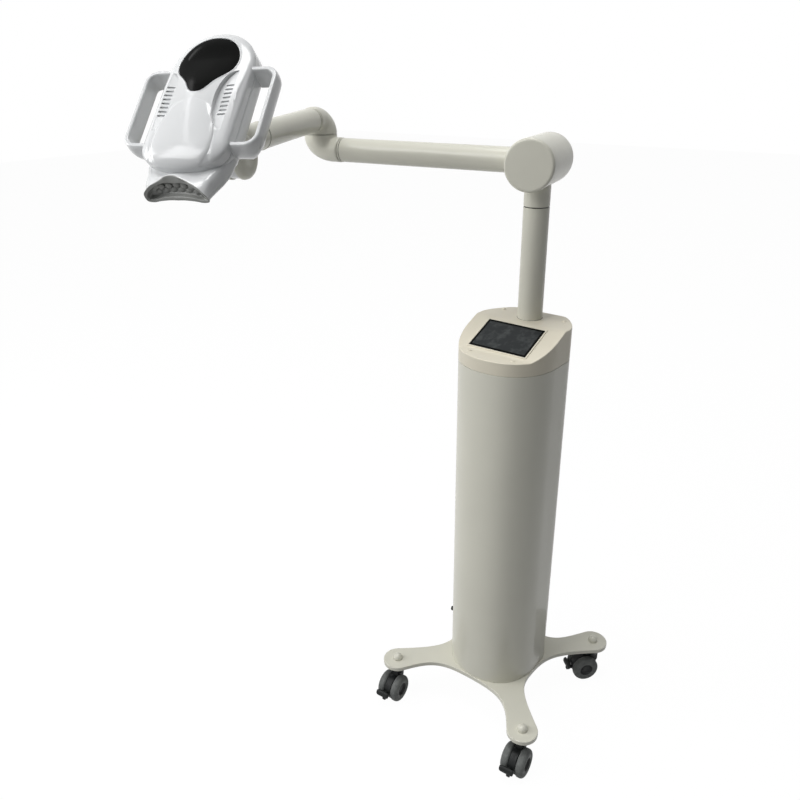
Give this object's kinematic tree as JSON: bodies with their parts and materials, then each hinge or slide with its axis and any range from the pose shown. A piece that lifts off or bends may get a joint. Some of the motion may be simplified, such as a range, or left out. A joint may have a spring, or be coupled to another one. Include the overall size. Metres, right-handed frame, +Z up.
{
  "type": "teeth_whitening_machine",
  "caption": "Floor-standing teeth whitening lamp: a wheeled stand with a touch screen column, a mast and a jointed arm that carries a tilting lamp head with handles and a light nozzle.",
  "frame": {"origin": "centre of the base plate's underside, midway between the four caster stems", "axes": "+Z up along the column and mast, -Y towards the side that the touch screen faces, +X to the right of someone looking at the screen"},
  "size_m": [0.666, 0.7443, 1.3795],
  "materials": {
    "cream_paint": "satin powder coat",
    "cream_plastic": "satin",
    "white_gloss": "glossy",
    "black_gloss": "mirror gloss",
    "black_plastic": "matte",
    "grey_plastic": "satin",
    "grey_tyre": "matte",
    "steel": "satin",
    "aluminium": "satin"
  },
  "bodies": {
    "stand": {"base_plate": "cream_paint", "column_shell": "cream_paint", "top_cap": "cream_plastic", "touch_screen": "black_gloss", "cap_frame": "steel", "cap_screw_back_left": "steel", "cap_screw_back_right": "steel", "cap_screw_front_left": "steel", "cap_screw_front_right": "steel", "power_inlet": "black_plastic", "power_supply": "aluminium", "mast_flange": "steel", "mast_tube": "cream_paint", "swivel_bush": "black_plastic", "caster_stem_front_left": "cream_paint", "caster_stem_front_right": "cream_paint", "caster_stem_back_left": "cream_paint", "caster_stem_back_right": "cream_paint"},
    "power_button_body": {"power_button": "black_plastic"},
    "shoulder": {"shoulder_post": "cream_paint"},
    "arm": {"shoulder_drum": "cream_paint", "drum_cover_front": "cream_paint", "drum_cover_back": "cream_paint", "shoulder_axle": "steel", "arm_tube": "cream_paint", "arm_ring": "black_plastic", "lower_elbow": "cream_paint", "elbow_spigot": "black_plastic"},
    "forearm": {"upper_elbow": "cream_paint", "forearm_ring": "black_plastic", "forearm_tube": "cream_paint", "wrist_ring": "black_plastic"},
    "wrist": {"wrist_knuckle": "cream_paint", "wrist_axle": "steel"},
    "head": {"head_neck": "white_gloss", "head_lower_shell": "white_gloss", "head_upper_shell": "white_gloss", "head_window": "black_gloss", "vent_grille_left": "white_gloss", "vent_grille_right": "white_gloss", "handle_left": "white_gloss", "handle_right": "white_gloss", "nozzle": "grey_plastic", "lens_plate": "grey_plastic", "light_board": "aluminium"},
    "fan": {"fan_rotor": "black_plastic"},
    "caster_front_left": {"caster_body_front_left": "black_plastic"},
    "wheels_front_left": {"caster_wheels_front_left": "grey_tyre"},
    "pedal_front_left": {"caster_pedal_front_left": "black_plastic"},
    "caster_front_right": {"caster_body_front_right": "black_plastic"},
    "wheels_front_right": {"caster_wheels_front_right": "grey_tyre"},
    "pedal_front_right": {"caster_pedal_front_right": "black_plastic"},
    "caster_back_left": {"caster_body_back_left": "black_plastic"},
    "wheels_back_left": {"caster_wheels_back_left": "grey_tyre"},
    "pedal_back_left": {"caster_pedal_back_left": "black_plastic"},
    "caster_back_right": {"caster_body_back_right": "black_plastic"},
    "wheels_back_right": {"caster_wheels_back_right": "grey_tyre"},
    "pedal_back_right": {"caster_pedal_back_right": "black_plastic"}
  },
  "joints": [
    {"name": "mast_swivel", "type": "hinge", "parent": "stand", "child": "shoulder", "pos_m": [0, 0.0603, 1.009], "axis": [0, 0, 1], "range_deg": [-170, 170]},
    {"name": "arm_lift", "type": "hinge", "parent": "shoulder", "child": "arm", "pos_m": [0, 0.0603, 1.0855], "axis": [0.2233, -0.9748, 0], "range_deg": [-18, 18]},
    {"name": "elbow_swivel", "type": "hinge", "parent": "arm", "child": "forearm", "pos_m": [-0.43903, -0.04025, 1.1219], "axis": [0, 0, 1], "range_deg": [-150, 50]},
    {"name": "wrist_roll", "type": "hinge", "parent": "forearm", "child": "wrist", "pos_m": [-0.33781, -0.2908, 1.13928], "axis": [-0.3742, 0.9262, 0.0455], "range_deg": [-60, 60]},
    {"name": "head_tilt", "type": "hinge", "parent": "wrist", "child": "head", "pos_m": [-0.3079, -0.3654, 1.1146], "axis": [0.9373, 0.3474, 0.0277], "range_deg": [-30, 30]},
    {"name": "fan_spin", "type": "hinge", "parent": "head", "child": "fan", "pos_m": [-0.29912, -0.39731, 1.21772], "axis": [0.2339, -0.6859, 0.6891], "continuous": true},
    {"name": "power_press", "type": "slide", "parent": "stand", "child": "power_button_body", "axis": [-0.9336, -0.3584, 0], "range_m": [-0.002, 0], "stiffness_N_per_m": 150, "springref_m": 0.002},
    {"name": "caster_swivel_front_left", "type": "hinge", "parent": "stand", "child": "caster_front_left", "pos_m": [-0.1625, -0.1625, -0.01], "axis": [0, 0, 1], "continuous": true},
    {"name": "wheel_spin_front_left", "type": "hinge", "parent": "caster_front_left", "child": "wheels_front_left", "pos_m": [-0.16041, -0.18239, -0.055], "axis": [0.9945, 0.1045, 0], "continuous": true},
    {"name": "brake_press_front_left", "type": "hinge", "parent": "caster_front_left", "child": "pedal_front_left", "pos_m": [-0.15821, -0.20328, -0.059], "axis": [0.9945, 0.1045, 0], "range_deg": [0, 12]},
    {"name": "caster_swivel_front_right", "type": "hinge", "parent": "stand", "child": "caster_front_right", "pos_m": [0.1625, -0.1625, -0.01], "axis": [0, 0, 1], "continuous": true},
    {"name": "wheel_spin_front_right", "type": "hinge", "parent": "caster_front_right", "child": "wheels_front_right", "pos_m": [0.16459, -0.18239, -0.055], "axis": [0.9945, 0.1045, 0], "continuous": true},
    {"name": "brake_press_front_right", "type": "hinge", "parent": "caster_front_right", "child": "pedal_front_right", "pos_m": [0.16679, -0.20328, -0.059], "axis": [0.9945, 0.1045, 0], "range_deg": [0, 12]},
    {"name": "caster_swivel_back_left", "type": "hinge", "parent": "stand", "child": "caster_back_left", "pos_m": [-0.1625, 0.1625, -0.01], "axis": [0, 0, 1], "continuous": true},
    {"name": "wheel_spin_back_left", "type": "hinge", "parent": "caster_back_left", "child": "wheels_back_left", "pos_m": [-0.16041, 0.14261, -0.055], "axis": [0.9945, 0.1045, 0], "continuous": true},
    {"name": "brake_press_back_left", "type": "hinge", "parent": "caster_back_left", "child": "pedal_back_left", "pos_m": [-0.15821, 0.12172, -0.059], "axis": [0.9945, 0.1045, 0], "range_deg": [0, 12]},
    {"name": "caster_swivel_back_right", "type": "hinge", "parent": "stand", "child": "caster_back_right", "pos_m": [0.1625, 0.1625, -0.01], "axis": [0, 0, 1], "continuous": true},
    {"name": "wheel_spin_back_right", "type": "hinge", "parent": "caster_back_right", "child": "wheels_back_right", "pos_m": [0.14964, 0.14718, -0.055], "axis": [0.766, -0.6428, 0], "continuous": true},
    {"name": "brake_press_back_right", "type": "hinge", "parent": "caster_back_right", "child": "pedal_back_right", "pos_m": [0.13615, 0.13109, -0.059], "axis": [0.766, -0.6428, 0], "range_deg": [0, 12]}
  ]
}
